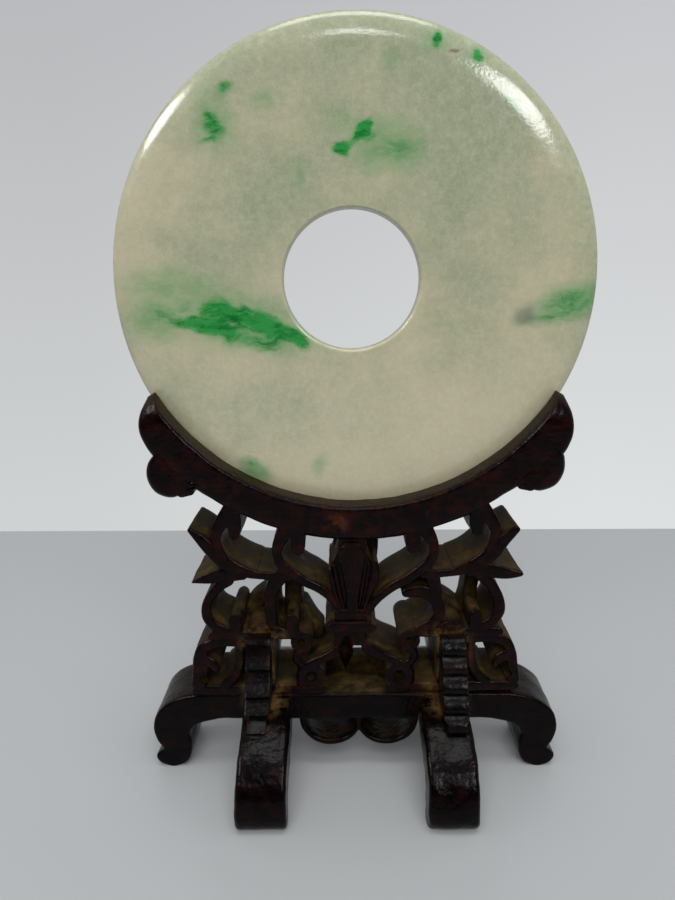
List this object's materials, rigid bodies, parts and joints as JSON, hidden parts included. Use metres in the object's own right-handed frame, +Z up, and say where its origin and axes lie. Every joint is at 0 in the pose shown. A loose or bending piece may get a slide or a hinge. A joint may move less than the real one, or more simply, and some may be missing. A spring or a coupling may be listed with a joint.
{
  "type": "jade bi disc on carved wooden stand",
  "caption": "Polished round disc of jade with a central hole, resting upright in the crescent cradle of a pierced, carved hardwood stand with cross feet.",
  "frame": {"origin": "on the floor under the middle of the stand, at the centre of the feet's footprint", "axes": "+Z up along the height, +X to the viewer's right across the disc, -Y towards the viewer (the carved front), so +Y is the disc's axis pointing back"},
  "size_m": [0.11, 0.0626, 0.176],
  "materials": {
    "jade": "polished, translucent pale grey-green with emerald veins",
    "hardwood": "oiled and polished dark hardwood, dusty in the recesses"
  },
  "bodies": {
    "root": {"jade_disc": "jade", "carved_panel": "hardwood", "base_beam": "hardwood", "left_cross_foot": "hardwood", "right_cross_foot": "hardwood", "front_left_bracket": "hardwood", "front_right_bracket": "hardwood", "back_left_bracket": "hardwood", "back_right_bracket": "hardwood"}
  },
  "joints": []
}
